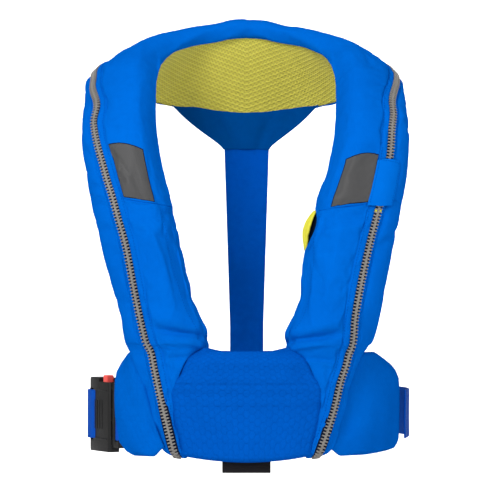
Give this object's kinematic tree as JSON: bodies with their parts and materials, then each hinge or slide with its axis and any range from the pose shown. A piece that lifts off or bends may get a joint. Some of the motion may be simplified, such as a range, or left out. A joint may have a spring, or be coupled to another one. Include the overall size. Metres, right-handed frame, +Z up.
{
  "type": "inflatable life jacket",
  "caption": "Horse-collar inflatable life jacket in worn shape: padded cover with zip, mesh collar, chest panel, waist belt with side-release buckle, inflator and oral tube inside.",
  "frame": {"origin": "middle of the neck opening, level with the lower edge of the collar", "axes": "+Z up, -Y out of the jacket's front, +X towards the wearer's left side"},
  "size_m": [0.3464, 0.2582, 0.469],
  "materials": {
    "cover_fabric": "fine ripstop weave",
    "strap_fabric": "woven webbing and heavy cloth",
    "mesh_liner": "spacer mesh",
    "bladder_fabric": "coated bladder cloth",
    "patch": "retroreflective film",
    "zip": "moulded teeth",
    "zip_cloth": "zip tape",
    "black_plastic": "moulded",
    "red_plastic": "moulded",
    "black_webbing": "ribbed webbing",
    "blue_webbing": "ribbed webbing",
    "rubber": "moulded",
    "steel": "satin",
    "whistle_plastic": "moulded"
  },
  "bodies": {
    "root": {"cover_front_right": "cover_fabric", "cover_side_right": "cover_fabric", "liner_right": "mesh_liner", "bladder_right": "bladder_fabric", "cover_front_collar": "cover_fabric", "cover_side_collar": "cover_fabric", "collar_liner": "mesh_liner", "bladder_collar": "bladder_fabric", "cover_front_left": "cover_fabric", "cover_side_left": "cover_fabric", "liner_left": "mesh_liner", "bladder_left": "bladder_fabric", "zip_tape": "zip_cloth", "zip_chain": "zip", "patch_right": "patch", "patch_left": "patch", "zip_tab": "cover_fabric", "zip_stop": "bladder_fabric", "chest_panel": "cover_fabric", "wing_right": "cover_fabric", "wing_left": "cover_fabric", "hem_tab": "black_webbing", "belt_webbing": "blue_webbing", "strap_loop": "strap_fabric", "back_strap": "strap_fabric", "strap_gusset": "strap_fabric", "buckle_female": "black_plastic", "belt_end_loop": "blue_webbing", "inflator_body": "black_plastic", "lever_pin": "steel", "seal_washer": "rubber", "oral_tube": "rubber", "oral_valve": "black_plastic", "whistle": "whistle_plastic"},
    "male": {"buckle_male": "black_plastic", "male_loop": "blue_webbing"},
    "prong_up": {"prong_upper": "red_plastic"},
    "prong_down": {"prong_lower": "red_plastic"},
    "slider": {"zip_slider": "zip"},
    "pull": {"zip_pull": "zip"},
    "cylinder": {"co2_cylinder": "steel"},
    "cap": {"auto_cap": "black_plastic"},
    "lever": {"firing_lever": "red_plastic"},
    "firing": {"firing_pin": "steel"},
    "poppet": {"oral_poppet": "black_plastic"},
    "valve_cap": {"oral_cap": "red_plastic"}
  },
  "joints": [
    {"name": "buckle_release", "type": "slide", "parent": "root", "child": "male", "axis": [0.5, -0.866, 0], "range_m": [0, 0.026]},
    {"name": "prong_upper_flex", "type": "hinge", "parent": "male", "child": "prong_up", "pos_m": [-0.1343, -0.04827, -0.2773], "axis": [-0.866, -0.5, 0], "range_deg": [0, 5], "stiffness_Nm_per_rad": 0.6},
    {"name": "prong_lower_flex", "type": "hinge", "parent": "male", "child": "prong_down", "pos_m": [-0.1343, -0.04827, -0.3327], "axis": [0.866, 0.5, 0], "range_deg": [0, 5], "stiffness_Nm_per_rad": 0.6},
    {"name": "zip_slide", "type": "slide", "parent": "root", "child": "slider", "axis": [1, 0, 0], "range_m": [-0.006, 0.006]},
    {"name": "zip_pull_swing", "type": "hinge", "parent": "slider", "child": "pull", "pos_m": [0, 0.12086, 0.02307], "axis": [0, 0.0675, -0.9977], "range_deg": [-5, 100]},
    {"name": "cylinder_unscrew", "type": "hinge", "parent": "root", "child": "cylinder", "pos_m": [0.1067, -0.10176, -0.1379], "axis": [-0.0687, 0.039, 0.9969], "continuous": true},
    {"name": "cap_turn", "type": "hinge", "parent": "root", "child": "cap", "pos_m": [0.1067, -0.10176, -0.1379], "axis": [-0.0687, 0.039, 0.9969], "range_deg": [0, 90]},
    {"name": "lever_pull", "type": "hinge", "parent": "root", "child": "lever", "pos_m": [0.11877, -0.09534, -0.10924], "axis": [0.3526, -0.9338, 0.0608], "range_deg": [0, 65]},
    {"name": "firing_pin_travel", "type": "slide", "parent": "root", "child": "firing", "axis": [0.0687, -0.039, -0.9969], "range_m": [0, 0.004]},
    {"name": "oral_valve_press", "type": "slide", "parent": "root", "child": "poppet", "axis": [-0.0609, -0.0323, -0.9976], "range_m": [0, 0.0015], "stiffness_N_per_m": 300},
    {"name": "oral_cap_pull", "type": "slide", "parent": "root", "child": "valve_cap", "axis": [0.0609, 0.0323, 0.9976], "range_m": [0, 0.012]}
  ],
  "couplings": [
    {"joint": "firing_pin_travel", "follows": "lever_pull", "m_per_rad": 0.00335}
  ]
}
